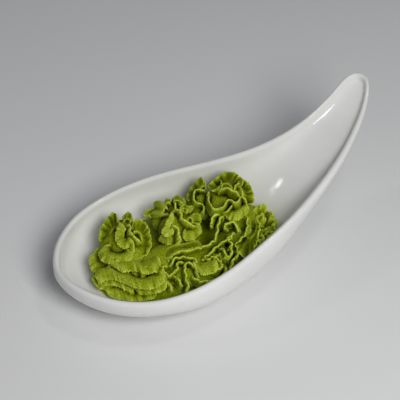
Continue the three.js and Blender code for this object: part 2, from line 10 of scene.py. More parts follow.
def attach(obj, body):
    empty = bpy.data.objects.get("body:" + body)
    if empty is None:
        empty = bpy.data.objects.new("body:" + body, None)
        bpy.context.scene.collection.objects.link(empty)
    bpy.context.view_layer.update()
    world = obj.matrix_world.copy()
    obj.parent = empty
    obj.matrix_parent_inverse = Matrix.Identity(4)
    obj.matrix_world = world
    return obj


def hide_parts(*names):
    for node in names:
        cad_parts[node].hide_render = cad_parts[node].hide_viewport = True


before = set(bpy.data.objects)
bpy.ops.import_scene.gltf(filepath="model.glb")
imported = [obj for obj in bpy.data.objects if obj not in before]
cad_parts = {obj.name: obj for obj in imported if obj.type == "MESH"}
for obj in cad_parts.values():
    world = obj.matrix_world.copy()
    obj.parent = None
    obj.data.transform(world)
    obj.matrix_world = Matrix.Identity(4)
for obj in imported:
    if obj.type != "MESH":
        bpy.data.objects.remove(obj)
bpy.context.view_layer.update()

MM = 0.001                     # one millimetre in metres

# ---------------------------------------------------------------- sizes of the spoon, in millimetres

SPOON_LENGTH = 135             # along the centreline, front of the bowl to the end of the handle
LIP_THICKNESS = 2.2            # at both ends of the centreline
LIP_INSET = 2.6                # taken off the breadth for the inside of the wall

# Eleven stations, evenly spaced by angle round the outline, from the front of the bowl to the handle's end.
# The half width is the breadth times the sine of that angle, which rounds both ends of the outline.
BREADTH = [27, 34, 37, 35.4, 30.6, 23.3, 17, 13.5, 12.8, 14, 16]
RIM_HEIGHT = [15, 16, 15.9, 16.4, 19.1, 23.4, 28.1, 32.5, 36.8, 41, 41.8]
OUTER_DEPTH = [7, 13.2, 14.2, 15.2, 20.4, 21.4, 10.4, 5.4, 6, 5.8, 5.5]
INNER_DEPTH = [5, 10.4, 10.9, 11.4, 16.6, 17.8, 7.2, 2.4, 2.2, 2, 2]
HEADING = [0, 0, 0, 0, 0, 4, 15, 27.7, 35.8, 40.5, 42]    # degrees, turning to the side

BOWL_CENTRE = 52               # where the rings of the mesh close, along the centreline
SECTION_POWER = 2.5            # of the superellipse across the bowl
RINGS = 30                     # from the bottom of the bowl to the rim, on each face
LIP_STEPS = 8                  # across the rounded lip
SPOKES = 256                   # round the outline
SEAM = 1e-4                    # vertices closer than this are made one, where the unshaped mesh closes
CAST_RINGS = 20                # from the bottom of the bowl to the rim, for the room inside it
CAST_TOP = 48                  # height that the room is carried up to, above every rim
PASTE_GAP = 0.1                # between the wall's glaze and the paste
FIT = Vector((0.9997, 0.9982, 1))    # keeps the smooth outline inside the box of the part's flat facets

# ---------------------------------------------------------------- sizes of the paste, in millimetres

TOOTH = 0.72                   # from one tooth to the next along a rib's free edge
TOOTH_DRIFT = 1.5              # how unevenly the teeth are spaced, in teeth
TOOTH_SIZE = 0.6               # height of a middling tooth where a rib is fully torn
SIZE_CHANGE = 1.1              # how much that height changes from tooth to tooth
FINE_TEAR = 0.9                # height of the fine tears between the teeth, likewise
GROOVE_DEPTH = 0.28            # of the grooves that run down a rib from between its teeth
EDGE_THICKNESS = 1.1           # of a rib at its free edge
ROOT_THICKNESS = 2.4           # of a rib where it grows from the mound
TAPER_POWER = 1.3              # of the curve by which a rib thins from the root to the free edge
ROUNDING_POWER = 8             # of the curve by which its free edge is rounded off
RUFFLE = 0.5                   # how far a free edge that is fully torn waves to each side
RUFFLE_LENGTH = 3.4            # of one such wave
STEPS_PER_TOOTH = 4            # steps of the mesh along a rib
RIB_ROWS = 12                  # rows of the mesh from a rib's root to its free edge
END_LENGTH = 2.4               # of the stretch over which a rib sinks at each of its ends
END_DROP = 0.45                # share of its height that it sinks by
RELIEF_PASSES = 50             # of smoothing, for the surface that ridges and gaps are told from, for the paste's painted highlights and painted shade
RELIEF_RANGE = 1.2             # height over that surface that is a full ridge
VOXEL = 0.23                   # of the mesh that joins the ribs
GRAIN = 0.36                   # height of the crumbs in the paste's surface
CRUMB_SIZE = 0.38              # and their breadth
CURVE_STEPS = 20               # straight steps that a curve has between two given points
LUMP_DIVISIONS = 4             # of the sphere that an ellipsoid is stretched from

MOUND = [                      # overlapping ellipsoids: centre and radii
    ((43, -3, 6), (32, 25, 6)),
    ((46, -11, 10), (13, 9, 5.3)),
    ((66, -8, 11), (11, 9, 5.5)),
    ((69, 0, 13), (8.5, 9, 5)),
    ((37, -5, 11), (10, 7, 5)),
    ((25, -4, 10), (9, 7, 4.5)),
]

# A rosette has lumps at its heart, given like the mound's, and two sorts of rib. A fan is (centre, pull,
# arch, free edge): its root lies on the way from the free edge to its centre, and the arch is how high it
# is rounded over, or cupped when negative. A fold is (offset to its root, arch, free edge).
LEFT_ROSETTE = {
    "lumps": [((26, 4, 14), (8.5, 9, 5.3)), ((28.5, 8.5, 15), (6, 7, 4.3))],
    "fans": [
        ((25, 6.5, 18), 0.7, -0.8,
         [(28, 12.5, 19.5), (28, 17.5, 18.5), (26, 17, 18.5), (23, 14.5, 18.5), (20.5, 12, 18),
          (19, 9, 17.5), (17.5, 7.5, 16)]),
        ((29, 8.5, 19), 0.6, -0.5,
         [(29, 13.5, 19), (31, 15, 19), (32.5, 15.5, 19), (33, 14, 19), (33, 11, 19.5)]),
        ((29.5, 2, 18.5), 0.7, -1,
         [(31, 9.5, 20.5), (33.5, 9.5, 20.3), (35.5, 8, 19.5), (36, 5.5, 18.5), (35.5, 2.5, 17.5),
          (34.5, -0.5, 16.5), (32.5, -3, 15.8), (30, -4, 15.3), (27, -4, 15.3)]),
        ((27.5, 3.5, 19.5), 0.6, 0.4,
         [(27.5, 10, 21.3), (25, 7, 21.4), (23.5, 4.5, 20.8), (22.5, 2, 20.2), (23, -0.5, 19.8),
          (24.5, -2, 19.7), (26, -2, 20), (27, -1, 20.3), (27.5, -2.5, 19.8), (27, -4, 19),
          (25.5, -5, 18)]),
        ((23.5, 1.5, 17.5), 0.55, 1,
         [(19, 4.5, 17), (17, 3.5, 16.8), (16, 1.5, 16.6), (16, -1.5, 16.6), (17.5, -3.5, 16.8),
          (19.5, -5.5, 17), (22.5, -6.5, 17.2), (25, -6, 17.5), (27, -4, 18.2)]),
        ((22, 3, 17.5), 0.6, -0.3,
         [(19, 3.5, 17), (20, 3.5, 18), (21, 4, 18.5), (22.5, 4.5, 18.8)]),
    ],
    "folds": [
        ((-1, 0.5, -3.5), 0.5,
         [(29.5, 8.5, 21.3), (29.5, 5.5, 21.8), (28.5, 3, 22), (29, 1, 21.5), (30, -0.5, 20.5),
          (31.5, 0, 19.3)]),
    ],
}
MIDDLE_ROSETTE = {
    "lumps": [((46.5, 4.5, 15), (7, 6.5, 6)), ((46.5, 10, 15), (7.5, 6, 5))],
    "fans": [
        ((41, 11, 17), 0.6, -0.5,
         [(38.5, 13, 16.5), (37.5, 14.5, 17), (39, 15, 17.5), (40.5, 15, 18), (41.5, 14, 18.5)]),
        ((44.5, 7, 21), 0.7, 0.4,
         [(45.5, 15, 19.5), (44.5, 15.5, 19.3), (43.5, 16.5, 19), (42.5, 17, 18.5), (42, 15.5, 18.3),
          (41, 13.5, 18), (39.5, 12.5, 17.3), (39.5, 11.5, 17), (41, 9.5, 17.5), (43, 8, 18.5)]),
        ((45.5, 9.5, 21), 0.6, -0.5,
         [(45.5, 15.5, 19.3), (47, 16.5, 19), (47.5, 16, 19.2), (49, 16, 19.5)]),
        ((48, 8, 21.5), 0.6, -0.5,
         [(49.5, 17, 19.3), (50.5, 17, 19.3), (51.5, 16, 19.3), (52.5, 14, 19.3), (53, 13, 19),
          (52, 11.5, 19.3)]),
        ((48, 5, 21.5), 0.7, -0.6,
         [(48.5, 7.5, 22), (50, 8.5, 21.8), (51, 9, 21.5), (51.5, 7.5, 21.2), (53.5, 8, 20.5),
          (53.5, 7, 20), (51.5, 5.5, 19.8)]),
        ((48, 1, 20.5), 0.7, -0.5,
         [(51, 4, 20.5), (53, 4.5, 20), (54.5, 4, 19.5), (54.5, 3, 19), (54, 1.5, 18.5), (53.5, -0.5, 18)]),
        ((42.5, 0, 21.5), 0.6, 0.4,
         [(45.5, 5.5, 23.8), (44, 4.5, 23.5), (42, 2.5, 23), (40, 1, 22.3), (38.5, -0.5, 21.3),
          (38, -2, 20.8), (39, -3, 20.3), (40.5, -3, 20), (42, -3, 20)]),
        ((49, 2, 19.5), 0.55, 0.8,
         [(53.5, -1, 18), (52.5, -2.5, 17.3), (50.5, -3.5, 16.8), (48.5, -4.5, 16.5), (46.5, -4, 16.5),
          (45, -3.5, 16.5), (44.5, -2.5, 17)]),
        ((42.5, 0.5, 18.5), 0.55, 0.6,
         [(37.5, 2, 16.3), (37.5, 1, 15.8), (38.5, -0.5, 15.5), (40, -2.5, 15.5), (42, -3.5, 15.7),
          (43.5, -3.5, 16.2)]),
    ],
    "folds": [
        ((0, 0.5, -4), 0,
         [(50, 16.5, 19.5), (48.5, 12.5, 20.8), (47.5, 8.5, 22)]),
        ((-1, 1, -3.5), 0.5,
         [(43, 1, 22.5), (43.5, -0.5, 22), (44, -2, 21.3), (43.5, -4, 20.3), (43.5, -5, 19.3),
          (42, -5, 18.3)]),
        ((-1, 0.5, -4), 0.5,
         [(45.5, 7, 22.8), (47, 6, 23), (47.5, 3.5, 23), (47, 2, 22.5), (48, 0, 22), (49, -1, 21),
          (50.5, -1.5, 20), (52.5, -1.5, 19)]),
    ],
}
RIGHT_ROSETTE = {
    "lumps": [((65.5, 6.5, 18), (7, 6.8, 6)), ((57.5, 10, 17.5), (4.5, 6, 5.2))],
    "fans": [
        ((58.5, 8.5, 23.5), 0.65, -0.6,
         [(61, 14, 24), (61, 17.5, 23.2), (59.5, 17.5, 22.8), (57.5, 16.5, 21.8), (55.5, 15.5, 21.2),
          (54, 14, 20.3), (53, 12, 19.7), (53.5, 10, 19.5)]),
        ((64, 5, 25.5), 0.7, -1.2,
         [(59, 11, 24.3), (60.5, 11, 25), (62.5, 12, 25.3), (64.5, 13, 25.3), (67, 14, 25.3),
          (68.5, 14.5, 25.3), (70.5, 14, 25.3), (72, 12.5, 25.3), (72.5, 10, 25.5),
          (72.5, 7.5, 25.8), (71.5, 4.5, 26)]),
        ((67, 3.5, 25.3), 0.65, -1.2,
         [(71.5, 9, 26), (72.5, 8, 25.8), (73.5, 7, 25.5), (74, 5, 25), (74, 3, 24.3), (73.5, 0.5, 23.3),
          (72.5, -1, 22.3), (71, -2.5, 21.5)]),
        ((67.5, 0.5, 22.5), 0.5, 0.8,
         [(61, -0.5, 22), (61, -3, 21.3), (62, -4.5, 20.8), (64, -5.5, 20.7), (66.5, -5, 20.7),
          (68.5, -4, 20.7), (71, -3, 21.3)]),
    ],
    "folds": [
        ((0, 1.5, -4), 0.5,
         [(62.5, 5.5, 27), (63.5, 5, 27.4), (65, 4, 27.6), (66, 2.5, 27.5), (67, 1.5, 27.3),
          (68, 0, 26.8)]),
        ((0, 0, -4), 0,
         [(66.5, 3, 27.3), (68.5, 5, 27), (71.5, 7, 26.5)]),
        ((0, 0, -4), 0,
         [(66, 12.5, 25.5), (64.5, 8, 26.3), (63.5, 5.5, 27)]),
        ((0.5, 1.5, -4.5), 0,
         [(59, 9.5, 25.3), (58, 10, 25), (56, 10.5, 24.7), (54.5, 9.5, 24.2), (54, 8, 23.7),
          (54, 6.5, 23.3), (55.5, 5.5, 22.8), (56, 4.5, 22.2), (55.5, 3.5, 21.3), (54.5, 4.5, 20.5)]),
        ((0.5, 1.5, -5), 0,
         [(59.5, 7.5, 26.5), (58, 5, 26.6), (57, 2, 26.2), (57, -0.5, 25.6), (58, -1.5, 25.2),
          (59.5, -2, 25.4), (61.5, -1.5, 26), (63, -0.5, 26.8), (64, -1, 26.7), (64.5, -2, 26.3),
          (66, -2, 26.3), (68, -0.5, 26.3), (69, -1, 25.8), (69.5, -2.5, 24.8)]),
        ((0.5, 1.5, -4), 0,
         [(64, -0.5, 25.5), (63.5, -2, 24.7), (62, -2.5, 23.8), (59.5, -2, 23)]),
    ],
}

# The free edges of the other ribs. Bands overhang the one below them, and wraps go round the left end.
# Crests stand up, and ruffles are the short folds below them. Hanging ribbons come down from under the
# right rosette. Cups are fans like a rosette's. The rope is the low crumbly stroke at the far right, and
# the far side has one plain rib.
BANDS = [
    [(17.5, -3, 16.3), (18.5, -5.5, 16.8), (19.5, -7.5, 16.8), (20.5, -9.5, 16.8), (23, -10, 16.8),
     (25, -11, 16.8), (27, -13, 16.6), (29.5, -13.5, 16.6), (31.5, -13.5, 16.6), (33.5, -12.5, 16.6)],
    [(23, -10.5, 15.5), (25, -12, 15.5), (26.5, -13.5, 15.3), (27.5, -14.5, 15)],
    [(30, -13.5, 15.6), (31, -15, 15.4), (32.5, -16.5, 15.3), (33.5, -16.5, 15.4)],
    [(12, -9.5, 13), (13, -8.5, 13.6), (14.5, -8, 14), (16, -8.5, 14.3), (17.5, -9.5, 14.5),
     (19, -11.5, 14.5), (20.5, -13.5, 14.5), (22, -15.5, 14.5), (24, -17, 14.5), (26.5, -18.5, 14.5),
     (28.5, -18.5, 14.6), (31, -18, 14.8), (33.5, -17.5, 15)],
    [(12.5, -9.5, 11), (14, -8.5, 11.8), (15.5, -9, 12.2), (17, -10, 12.4), (18.5, -11.5, 12.4),
     (19.5, -13, 12.2), (21, -15, 11.8), (22.5, -16.5, 11.5)],
    [(22, -15, 12), (23.5, -16.5, 11.8), (25, -17.5, 11.8), (27, -18, 12), (29, -19, 12.4),
     (31.5, -19, 12.8), (33.5, -18.5, 13.3)],
    [(14, -11, 9.8), (15.5, -13, 9.8), (17.5, -14.5, 9.8), (20, -16.5, 10), (23, -18, 10.2),
     (26, -19, 10.5), (29, -20, 11)],
    [(43, -19, 16.3), (44.5, -21, 16.2), (46.5, -21.5, 16.4), (48.5, -22, 16.6), (50.5, -22, 16.8)],
]
LEFT_WRAPS = [
    [(15.5, 6.5, 14), (13.5, 4, 13.5), (12.5, 0.5, 13.2), (13, -2.5, 13.3), (15, -3.5, 14), (16.5, -3, 15)],
    [(12, -1, 12), (11.5, -4, 11.5), (12, -7, 11), (13, -9.5, 10.6)],
]
CRESTS = [
    [(60.5, -3, 23), (59, -3.5, 22.2), (57.5, -5, 21.4), (56.5, -6.5, 20.8), (55.5, -8, 20.3),
     (54, -10, 19.8), (51.5, -11, 19.5), (49.5, -11, 19), (46.5, -10.5, 18.6), (43.5, -10, 18.4),
     (41.5, -9, 18), (39.5, -9, 17.5), (38, -9.5, 17), (36.5, -10.5, 16.6)],
    [(36.5, -12, 16.3), (37.5, -11.5, 17), (38.5, -11, 17.6), (40.5, -11.5, 17.9), (42.5, -12.5, 18.1),
     (44, -13.5, 18), (45, -15, 17.5), (45.5, -16.5, 17)],
    [(62, -9, 20), (60.5, -10, 19.7), (58, -11, 19.3), (55.5, -12, 19), (53.5, -12.5, 18.8),
     (51.5, -13.5, 18.5), (49, -14.5, 18.2), (47, -15, 17.8)],
]
RUFFLES = [
    [(36, -11, 16.5), (34.5, -11.5, 16), (33.5, -12.5, 15.5), (34, -14, 15.3), (35, -15.5, 15.3),
     (36.5, -15.5, 15.8), (38, -14.5, 16.5), (39, -13, 17.2), (40.5, -13, 17.5), (41.5, -13.5, 17.5)],
    [(37.5, -24, 14.5), (38.5, -22.5, 15.3), (39, -20, 16), (39.5, -18, 16.8), (40.5, -15.5, 17.3),
     (42, -14.5, 17.6), (43, -15.5, 17.5), (43.5, -17, 17), (43.5, -18.5, 16.5), (43.5, -20, 15.8)],
    [(35, -15.5, 15.3), (36.5, -16.5, 15), (37, -18.5, 14.8), (37.5, -20.5, 14.5)],
    [(34, -16, 14.5), (33.5, -18.5, 14.3), (34, -20.5, 14)],
    [(41.5, -18.5, 15.8), (42, -20, 15.5), (43, -22, 15.3), (45, -23, 15.5), (47, -23.5, 15.8),
     (49, -24, 16), (51, -23.5, 16.5), (52.5, -22, 17), (53.5, -20.5, 17.5)],
    [(46.5, -16, 17.3), (48, -17.5, 17.2), (49, -17.5, 17.5), (51, -16.5, 17.8), (53, -15.5, 18),
     (54.5, -15, 18.3)],
    [(48.5, -19, 17), (49.5, -20.5, 17), (51.5, -20.5, 17.3), (53, -19, 17.6)],
    [(54, -13, 18.8), (55, -14.5, 18.6), (55, -16.5, 18.2), (54, -17.5, 17.8)],
    [(58, -13, 19), (58, -14.5, 18.6), (57, -16.5, 18.2), (55, -18, 17.8)],
    [(59, -15.5, 18.5), (59, -17.5, 18.3), (57.5, -19, 18), (56, -20, 17.7), (54.5, -22, 17.3)],
    [(59.5, -8.5, 19.8), (60, -10.5, 19.3), (58.5, -11.5, 19.2), (58.5, -13.5, 18.9), (57, -15, 18.6)],
    [(48, -14.5, 18.2), (49, -16, 18), (51, -16, 18.2), (51.5, -17.5, 17.8), (52.5, -19, 17.5)],
]
HANGING = [
    [(58.5, -2, 24), (57, -2, 22.7), (55.5, -3, 21.3), (55, -4, 19.8)],
    [(58.5, -7, 20.5), (59.5, -6, 21), (61, -6, 21.3), (62.5, -6.5, 21.3), (62.5, -8, 20.8),
     (62.5, -9.5, 20)],
]
CUPS = [
    ((69.5, -7, 17.5), 0.6, -0.6,
     [(68, -4.5, 21.8), (67, -7.5, 21), (65.5, -10.5, 20.5), (63.5, -12.5, 20), (61.5, -13.5, 19.7),
      (59.5, -14.5, 19.2), (59, -16, 18.7), (59, -18.5, 18.4), (60, -21, 18.3), (62.5, -20.5, 19),
      (65.5, -18, 19.6), (68, -14.5, 20), (70, -11.5, 20.3), (71, -8.5, 20.6), (71, -6.5, 21)]),
    ((55.5, -12, 16), 0.6, -0.5,
     [(47, -16, 17), (47.5, -17.5, 17), (49, -17.5, 17.3), (49, -19, 16.9), (50, -20.5, 16.9),
      (52, -20, 17.2)]),
]
ROPE = [
    [(74, -1, 19.5), (75.5, 0, 19.4), (76.5, -1, 19.2), (77.5, -0.5, 19), (77.5, -3, 18.8)],
    [(77.5, -3, 19), (78.5, -4.5, 18.6), (77, -6.5, 18.4), (77.5, -8.5, 18.3), (75.5, -11, 18.4)],
    [(75.5, -10.5, 18.6), (75.5, -12.5, 18.4), (73.5, -14, 18.8), (71, -16, 19)],
    [(73.5, -3, 19.4), (74.5, -4, 19), (75, -5.5, 18.6), (76, -5, 18.4)],
    [(72, -9.5, 18.7), (72.5, -11, 18.5), (74, -10.5, 18.4), (73, -12.5, 18.6), (71, -14, 18.8)],
    [(70.5, -11.5, 18.7), (70, -14.5, 18.8), (68, -16, 19), (67.5, -18.5, 19.2)],
]
FAR_SIDE = [
    [(47, 19, 12), (56, 18, 14), (64, 16, 16.5), (71, 12.5, 18.5)],
]

# Of each run of ribs: offset from the free edge to the root, arch, thickness as a share of the sizes above,
# and how torn it is, from 0 to 1. The flank is the broad side of the longest crest.
BAND_FORM = ((0.5, 5, 0), 0.8, 0.7, 0.5)
LEFT_FORM = ((4, 1, -1), 0.8, 0.8, 0.45)
FLANK_FORM = ((0, 5, -2.5), -0.5, 1.2, 0)
FLANK_START = 7                # point of the longest crest from which the flank goes with it
CREST_FORM = ((0.3, 2, -4), 0.3, 0.75, 0.5)
RUFFLE_FORM = ((0.2, 1.5, -4), 0.3, 0.8, 0.55)
HANGING_FORM = ((1.5, 1.5, -3.5), 0.5, 0.8, 0.4)
ROPE_FORM = ((-1.5, 0, -4), 0, 1.3, 0.8)
FAR_FORM = ((0.5, -4.5, -1), 1, 1.3, 0.3)
FAN_THICKNESS = 0.7            # the same two shares for a rosette's fans and for the cups
FAN_TEAR = 0.5
FOLD_THICKNESS = 0.7           # and for a rosette's folds
FOLD_TEAR = 0.3


# ---------------------------------------------------------------- the spoon's shape

def smooth_between(before, start, end, after, share):
    """Value between start and end of a smooth curve through four values or points in a row."""
    rise = (end - before) * 0.5
    fall = (after - start) * 0.5
    cube = (start - end) * 2 + rise + fall
    square = (end - start) * 3 - rise * 2 - fall
    return cube * share ** 3 + square * share ** 2 + rise * share + start


def smooth_through(values, place):
    """Value of a smooth curve through a row of values or points, at a place from 0 to the last index."""
    last = len(values) - 1
    index = min(int(place), last - 1)
    before = values[max(index - 1, 0)]
    after = values[min(index + 2, last)]
    return smooth_between(before, values[index], values[index + 1], after, place - index)


def at_station(stations, t):
    """Value of a row of stations, from 0 at the front of the bowl to 1 at the handle's end."""
    return smooth_through(stations, t * (len(stations) - 1))


OUTSIDE = {"start": 0, "inset": 0, "depth": OUTER_DEPTH}
INSIDE = {"start": LIP_THICKNESS, "inset": LIP_INSET, "depth": INNER_DEPTH}
PASTE_SIDE = {"start": LIP_THICKNESS + PASTE_GAP, "inset": LIP_INSET + PASTE_GAP, "depth": INNER_DEPTH}


def station_of(face, along):
    """Station parameter of a face of the wall, at a distance along the centreline."""
    span = SPOON_LENGTH - 2 * face["start"]
    cosine = 1 - 2 * (along - face["start"]) / span
    return math.acos(max(-1, min(1, cosine))) / math.pi


def half_width(face, along):
    """Half the width of a face at the rim, at a distance along the centreline."""
    t = station_of(face, along)
    return math.sin(math.pi * t) * (at_station(BREADTH, t) - face["inset"])


def rim_height(along):
    """Height of the rim at a distance along the centreline."""
    return at_station(RIM_HEIGHT, station_of(OUTSIDE, along))


def face_height(face, along, across):
    """Height of a face below a point of the bowl, never lower than the flat foot."""
    t = station_of(face, along)
    depth = math.sqrt(max(math.sin(math.pi * t), 0)) * at_station(face["depth"], t)
    side = min(abs(across) / max(half_width(face, along), 1e-6), 1)
    hollow = (1 - side ** SECTION_POWER) ** (1 / SECTION_POWER)
    return max(rim_height(along) - depth * hollow, 0)


def ring_point(face, share, angle):
    """Point of a face on the ring at a share of the way from the bowl's centre to the outline."""
    middle = SPOON_LENGTH / 2
    rim_along = middle + (middle - face["start"]) * math.cos(angle)
    rim_across = math.copysign(half_width(face, rim_along), math.sin(angle))
    along = BOWL_CENTRE + share * (rim_along - BOWL_CENTRE)
    across = share * rim_across
    height = face_height(face, along, across) if share < 1 else rim_height(along)
    return Vector((along, across, height))


def lip_point(turn, angle):
    """Point of the half round lip, from 0 at the outside of the wall to a half turn at the inside."""
    outer = ring_point(OUTSIDE, 1, angle)
    inner = ring_point(INSIDE, 1, angle)
    reach = (outer - inner) / 2
    up = Vector((0, 0, reach.length))
    return (outer + inner) / 2 + reach * math.cos(turn) + up * math.sin(turn)


def make_centreline():
    """Points of the centreline, one for each millimetre, on the curve that the heading gives."""
    points = [Vector((0, 0))]
    for along in range(1, SPOON_LENGTH + 1):
        heading = math.radians(at_station(HEADING, station_of(OUTSIDE, along - 0.5)))
        points.append(points[-1] + Vector((math.cos(heading), math.sin(heading))))
    return points


CENTRELINE = make_centreline()


def bend(point):
    """Carries a point given along, across and up from the straight centreline to the curved one."""
    index = max(0, min(SPOON_LENGTH - 1, math.floor(point.x)))
    start = CENTRELINE[index]
    way = CENTRELINE[index + 1] - start
    rest = point.x - index
    bent = start + way * rest + Vector((-way.y, way.x)) * point.y
    return Vector((bent.x, bent.y, point.z))


def spoon_rows():
    """The rows of the spoon's mesh, from under the bowl over the lip to the bowl's floor."""
    shares = [math.sin(math.pi / 2 * ring / RINGS) for ring in range(RINGS + 1)]
    rows = [lambda angle, share=share: ring_point(OUTSIDE, share, angle) for share in shares]
    for step in range(1, LIP_STEPS):
        rows.append(lambda angle, turn=math.pi * step / LIP_STEPS: lip_point(turn, angle))
    rows += [lambda angle, share=share: ring_point(INSIDE, share, angle) for share in reversed(shares)]
    return rows


def cast_rows():
    """The rows of the room inside the bowl, clear of the glaze and carried up past the rim."""
    shares = [math.sin(math.pi / 2 * ring / CAST_RINGS) for ring in range(CAST_RINGS + 1)]
    rows = [lambda angle, share=share: ring_point(PASTE_SIDE, share, angle) for share in shares]
    rows.append(lambda angle: Vector((*ring_point(PASTE_SIDE, 1, angle).xy, CAST_TOP)))
    rows.append(lambda angle: Vector((BOWL_CENTRE, 0, CAST_TOP)))
    return rows


def turned(rows):
    """A closed bmesh of rows spun round the bowl, each vertex carried to its row's own point."""
    shape = bmesh.new()
    last = len(rows) - 1
    profile = [shape.verts.new((0 if i in (0, last) else 1, 0, i)) for i in range(len(rows))]
    edges = [shape.edges.new(pair) for pair in zip(profile, profile[1:])]
    bmesh.ops.spin(shape, geom=profile + edges, axis=(0, 0, 1), cent=(0, 0, 0), angle=2 * math.pi,
                   steps=SPOKES, use_merge=True)
    bmesh.ops.remove_doubles(shape, verts=shape.verts, dist=SEAM)
    for vertex in shape.verts:
        angle = math.atan2(vertex.co.y, vertex.co.x)
        vertex.co = bend(rows[round(vertex.co.z)](angle))
    bmesh.ops.recalc_face_normals(shape, faces=shape.faces)
    return shape


# ---------------------------------------------------------------- the paste's shape

def evenly_along(points, step):
    """Points of the smooth curve through the given ones, evenly spaced by about a step."""
    curve = [Vector(point) for point in points]
    steps = CURVE_STEPS * (len(curve) - 1)
    fine = [smooth_through(curve, i / CURVE_STEPS) for i in range(steps + 1)]
    lengths = [0]
    for before, after in zip(fine, fine[1:]):
        lengths.append(lengths[-1] + (after - before).length)
    count = max(3, round(lengths[-1] / step))
    spaced = []
    index = 0
    for i in range(count + 1):
        target = lengths[-1] * i / count
        while index < len(fine) - 2 and lengths[index + 1] < target:
            index += 1
        share = (target - lengths[index]) / (lengths[index + 1] - lengths[index])
        spaced.append(fine[index].lerp(fine[index + 1], share))
    return spaced


def wander(distance, pace, seed, layer):
    """Smooth random value along a free edge, around 0, that changes faster at a higher pace."""
    return noise.noise(Vector((distance * pace, seed, layer)))


def tooth_height(distance, seed):
    """Height of the torn teeth along a free edge, at a distance along it, mostly from -1 to 1."""
    drift = wander(distance, 0.5, seed, 0) * TOOTH * TOOTH_DRIFT
    number, share = divmod((distance + drift) / TOOTH, 1)
    size = TOOTH_SIZE + SIZE_CHANGE * wander(number, 3.7, seed, 5)
    tear = FINE_TEAR * wander(distance, 3, seed, 9)
    return size * (1 - 4 * abs(share - 0.5)) + tear


def ruffle(distance, seed):
    """Height of the slow waves of a free edge, at a distance along it, from -1 to 1."""
    drift = 4 * wander(distance, 0.25, seed, 3)
    return math.sin(2 * math.pi * distance / RUFFLE_LENGTH + drift + seed)


def rib_cross_section(edge, root, way, arch, height):
    """Point of a rib's middle sheet at a share of its height, with the ways up and across the sheet."""
    rise = edge - root
    point = root + rise * height + Vector((0, 0, arch * 4 * height * (1 - height)))
    slope = rise + Vector((0, 0, arch * 4 * (1 - 2 * height)))
    return point, slope.normalized(), way.cross(slope).normalized()


def half_thickness(thick, height):
    """Half the thickness of a rib at a share of its height, for a share of the full thickness."""
    taper = (ROOT_THICKNESS - EDGE_THICKNESS) * (1 - height) ** TAPER_POWER
    rounding = math.sqrt(max(1 - height ** ROUNDING_POWER, 0.1))
    return thick * (EDGE_THICKNESS + taper) / 2 * rounding


def add_rib(shape, points, root_of, arch, thick, tear, seed):
    """Adds a closed rib: a sheet with its free edge on the curve through the points, arched by a height."""
    edges = evenly_along(points, TOOTH / STEPS_PER_TOOTH)
    steps = len(edges) - 1
    grid = bmesh.ops.create_grid(shape, x_segments=steps, y_segments=RIB_ROWS, size=0.5)
    sheet = list({face for vertex in grid["verts"] for face in vertex.link_faces})
    raised = bmesh.ops.extrude_face_region(shape, geom=sheet)["geom"]
    far_side = [item for item in raised if isinstance(item, bmesh.types.BMVert)]
    bmesh.ops.translate(shape, verts=far_side, vec=(0, 0, 1))
    for vertex in grid["verts"] + far_side:
        i = round((vertex.co.x + 0.5) * steps)
        height = vertex.co.y + 0.5
        side = vertex.co.z * 2 - 1
        way = edges[min(i + 1, steps)] - edges[max(i - 1, 0)]
        root = root_of(edges[i])
        from_end = min(i, steps - i) * TOOTH / STEPS_PER_TOOTH
        full = 1 - END_DROP * max(0, 1 - from_end / END_LENGTH) ** 2
        edge = root.lerp(edges[i], full)
        point, slope, across = rib_cross_section(edge, root, way, arch, height)
        distance = i * TOOTH / STEPS_PER_TOOTH
        tooth = tooth_height(distance, seed)
        # Grooves fade towards the root and the free edge. Waves and teeth grow towards the free edge.
        groove = GROOVE_DEPTH * tooth * height * (1 - height ** 4)
        wave = tear * RUFFLE * height ** 2 * ruffle(distance, seed)
        vertex.co = point + slope * (tear * tooth * height ** 5)
        vertex.co += across * (side * (half_thickness(thick, height) + groove) + wave)


def add_lump(shape, at, radii):
    """Adds an ellipsoid, given by its centre and radii."""
    made = bmesh.ops.create_icosphere(shape, subdivisions=LUMP_DIVISIONS, radius=1)["verts"]
    bmesh.ops.scale(shape, vec=radii, verts=made)
    bmesh.ops.translate(shape, vec=at, verts=made)


def add_run(shape, form, ribs, seed):
    """Adds ribs that share an offset from the free edge to the root, an arch, a thickness and a tear."""
    offset, arch, thick, tear = form
    for number, points in enumerate(ribs):
        add_rib(shape, points, lambda edge: edge + Vector(offset), arch, thick, tear, seed + number)


def add_fans(shape, fans, seed):
    """Adds ribs whose roots lie on the way from the free edge to a centre."""
    for number, (centre, pull, arch, points) in enumerate(fans, seed):
        middle = Vector(centre)
        add_rib(shape, points, lambda edge: edge.lerp(middle, pull), arch, FAN_THICKNESS, FAN_TEAR, number)


def rosette_shape(rosette):
    """The lumps, fans and folds of one rosette."""
    shape = bmesh.new()
    for at, radii in rosette["lumps"]:
        add_lump(shape, at, radii)
    add_fans(shape, rosette["fans"], seed=0)
    for number, (offset, arch, points) in enumerate(rosette["folds"]):
        add_run(shape, (offset, arch, FOLD_THICKNESS, FOLD_TEAR), [points], seed=30 + number)
    return shape


def mound_shape():
    """The smooth mound under the ribs, with the ribs of its far side."""
    shape = bmesh.new()
    for at, radii in MOUND:
        add_lump(shape, at, radii)
    add_run(shape, FAR_FORM, FAR_SIDE, seed=60)
    return shape


def front_shape():
    """The layers that overhang each other at the front, and the ribs round the left end."""
    shape = bmesh.new()
    add_run(shape, BAND_FORM, BANDS, seed=40)
    add_run(shape, LEFT_FORM, LEFT_WRAPS, seed=60)
    return shape


